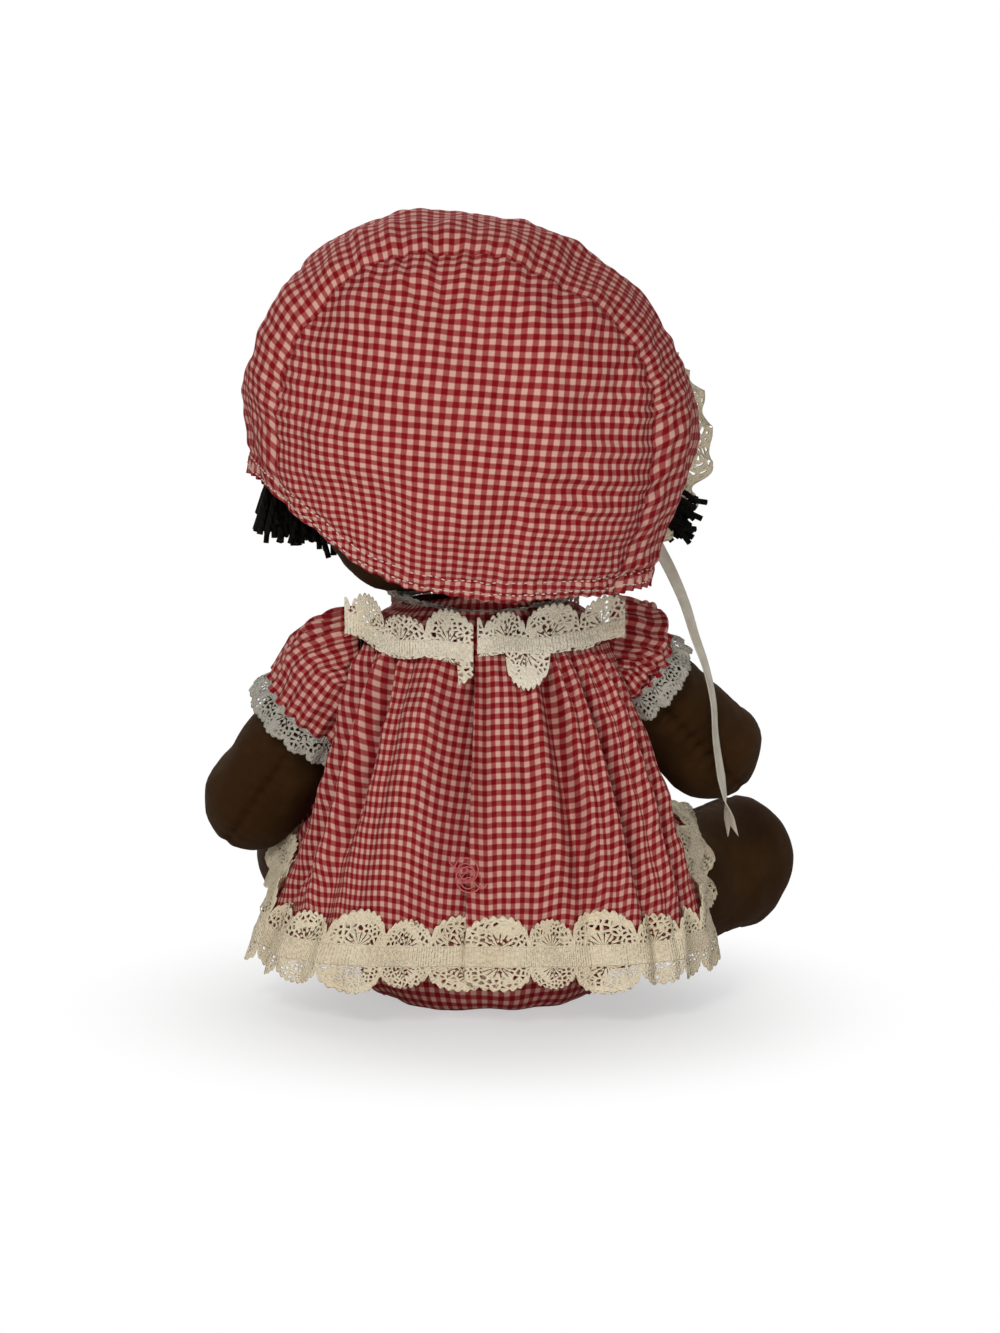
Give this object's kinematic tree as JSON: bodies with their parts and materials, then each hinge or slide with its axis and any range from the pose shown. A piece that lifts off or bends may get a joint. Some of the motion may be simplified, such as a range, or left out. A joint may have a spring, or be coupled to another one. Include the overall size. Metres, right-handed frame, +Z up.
{
  "type": "rag doll",
  "caption": "Seated stuffed cloth doll in a checked, lace-trimmed dress and bonnet, with arms and legs that swing where they are sewn on and a head that turns.",
  "frame": {"origin": "middle of the flat patch that the doll sits on, on the floor", "axes": "+Z up, the doll faces -Y, +X towards the doll's left hand"},
  "size_m": [0.2441, 0.2262, 0.3166],
  "materials": {
    "brown_cotton": "matt plain-weave cotton, faded a little at the seams",
    "gingham": "matt woven check, crimson and cream",
    "cream_lace": "matt cotton galloon lace, aged cream",
    "white_lace": "matt fine floral lace, greyed white",
    "elastic": "matt woven elastic",
    "black_yarn": "matt spun yarn",
    "black_thread": "satin-stitched cotton thread",
    "red_thread": "satin-stitched cotton thread",
    "pink_thread": "sewing thread",
    "satin": "soft satin ribbon, creased"
  },
  "bodies": {
    "torso": {"torso": "brown_cotton", "bloomers_seat": "gingham", "waist_elastic": "elastic", "dress_yoke": "gingham", "dress_skirt": "gingham", "hem_lace": "cream_lace", "yoke_lace_back": "cream_lace", "yoke_lace_front": "cream_lace", "collar_lace": "white_lace", "placket_snap": "pink_thread"},
    "head": {"head": "brown_cotton", "hair_fringe": "black_yarn", "hair_left": "black_yarn", "hair_right": "black_yarn", "left_eye": "black_thread", "right_eye": "black_thread", "nose": "brown_cotton", "mouth": "red_thread", "bonnet_crown": "gingham", "bonnet_band": "gingham", "bonnet_lace": "cream_lace", "left_ribbon": "satin", "right_ribbon": "satin"},
    "left_arm": {"left_arm": "brown_cotton", "left_sleeve": "gingham", "left_sleeve_lace": "white_lace"},
    "right_arm": {"right_arm": "brown_cotton", "right_sleeve": "gingham", "right_sleeve_lace": "white_lace"},
    "left_leg": {"left_leg": "brown_cotton", "bloomers_left_leg": "gingham", "bloomers_left_lace": "white_lace"},
    "right_leg": {"right_leg": "brown_cotton", "bloomers_right_leg": "gingham", "bloomers_right_lace": "white_lace"}
  },
  "joints": [
    {"name": "head_turn", "type": "hinge", "parent": "torso", "child": "head", "pos_m": [0, -0.025, 0.166], "axis": [0, 0, 1], "range_deg": [-35, 35], "deforming": ["left_ribbon", "right_ribbon"]},
    {"name": "left_shoulder", "type": "hinge", "parent": "torso", "child": "left_arm", "pos_m": [0.05, -0.033, 0.14], "axis": [-1, 0, 0], "range_deg": [0, 65]},
    {"name": "right_shoulder", "type": "hinge", "parent": "torso", "child": "right_arm", "pos_m": [-0.05, -0.033, 0.14], "axis": [-1, 0, 0], "range_deg": [0, 65]},
    {"name": "left_hip", "type": "hinge", "parent": "torso", "child": "left_leg", "pos_m": [0.0301, -0.047, 0.028], "axis": [1, 0, 0], "range_deg": [0, 90]},
    {"name": "right_hip", "type": "hinge", "parent": "torso", "child": "right_leg", "pos_m": [-0.0301, -0.047, 0.028], "axis": [1, 0, 0], "range_deg": [0, 90]}
  ]
}
